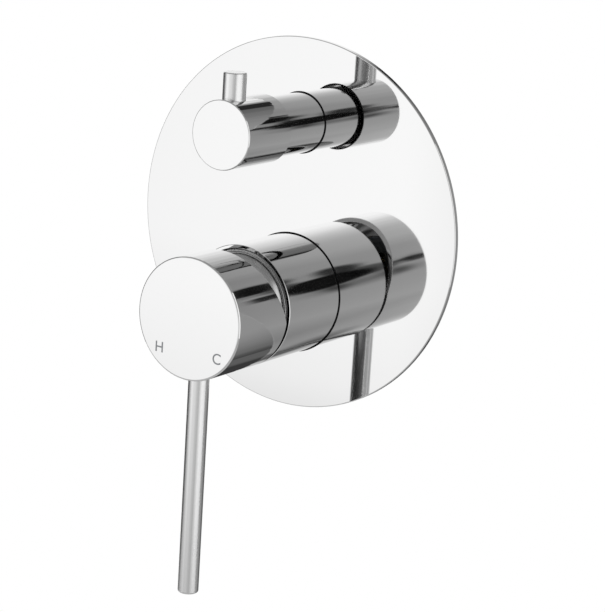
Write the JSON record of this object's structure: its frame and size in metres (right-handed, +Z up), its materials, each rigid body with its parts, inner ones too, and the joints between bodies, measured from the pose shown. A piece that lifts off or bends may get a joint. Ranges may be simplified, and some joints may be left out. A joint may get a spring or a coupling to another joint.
{
  "type": "shower diverter mixer valve",
  "caption": "Wall shower mixer with a pin lever and a smaller diverter knob on a round chrome plate, with its brass body and ceramic cartridges in the wall.",
  "frame": {"origin": "middle of the round plate's back, on the surface of the finished wall", "axes": "+Z up, +Y into the wall, -Y towards the room, +X to the right as seen from the room"},
  "size_m": [0.15, 0.1065, 0.2154],
  "materials": {
    "chrome_plate": "mirror-polished chrome plating on a pressed plate",
    "chrome": "polished chrome plating on turned brass",
    "chrome_lever": "finely polished chrome plating on a drawn brass rod",
    "brass": "turned",
    "brass_cast": "cast and sand-blasted",
    "steel": "stainless, ground",
    "rubber": "moulded, matt",
    "foam": "closed-cell foam sheet",
    "fibre": "pressed fibre",
    "grey_plastic": "moulded",
    "white_plastic": "moulded",
    "ceramic": "sintered alumina, lapped"
  },
  "bodies": {
    "valve": {"wall_plate": "chrome_plate", "plate_gasket": "foam", "mixer_sleeve": "chrome", "mixer_sleeve_seal": "rubber", "mixer_sleeve_ring": "rubber", "fixed_disc": "ceramic", "cartridge_base": "white_plastic", "disc_seals": "rubber", "port_seals": "rubber", "cartridge_housing": "grey_plastic", "cartridge_nut": "brass", "dome_cover": "chrome", "valve_body": "brass_cast", "diverter_sleeve": "chrome", "diverter_sleeve_seal": "rubber", "diverter_sleeve_ring": "rubber", "spindle_washer": "white_plastic", "spindle_ring": "rubber", "diverter_headwork": "brass", "headwork_gasket": "fibre", "diverter_fixed_disc": "ceramic", "diverter_seat_ring": "rubber"},
    "rotor": {"mixer_rotor": "grey_plastic", "stem_pivot_pin": "steel"},
    "lever_handle": {"mixer_handle": "chrome", "mixer_lever": "chrome_lever", "handle_grub_screw": "steel", "mixer_stem": "brass"},
    "disc": {"disc_carrier": "white_plastic", "moving_disc": "ceramic"},
    "diverter": {"diverter_knob": "chrome", "diverter_pin": "chrome", "knob_grub_screw": "steel", "diverter_spindle": "brass", "diverter_circlip": "steel", "diverter_moving_disc": "ceramic"}
  },
  "joints": [
    {"name": "mixer_turn", "type": "hinge", "parent": "valve", "child": "rotor", "pos_m": [0, -0.03897, -0.0281], "axis": [0, 1, 0], "range_deg": [-50, 50]},
    {"name": "mixer_tilt", "type": "hinge", "parent": "rotor", "child": "lever_handle", "pos_m": [0, -0.03897, -0.0281], "axis": [-1, 0, 0], "range_deg": [0, 22]},
    {"name": "disc_slide", "type": "slide", "parent": "rotor", "child": "disc", "axis": [0, 0, -1], "range_m": [0, 0.0036]},
    {"name": "diverter_turn", "type": "hinge", "parent": "valve", "child": "diverter", "pos_m": [0, -0.0477, 0.0411], "axis": [0, 1, 0], "range_deg": [-45, 45]}
  ],
  "couplings": [
    {"joint": "disc_slide", "follows": "mixer_tilt", "m_per_rad": 0.009}
  ]
}
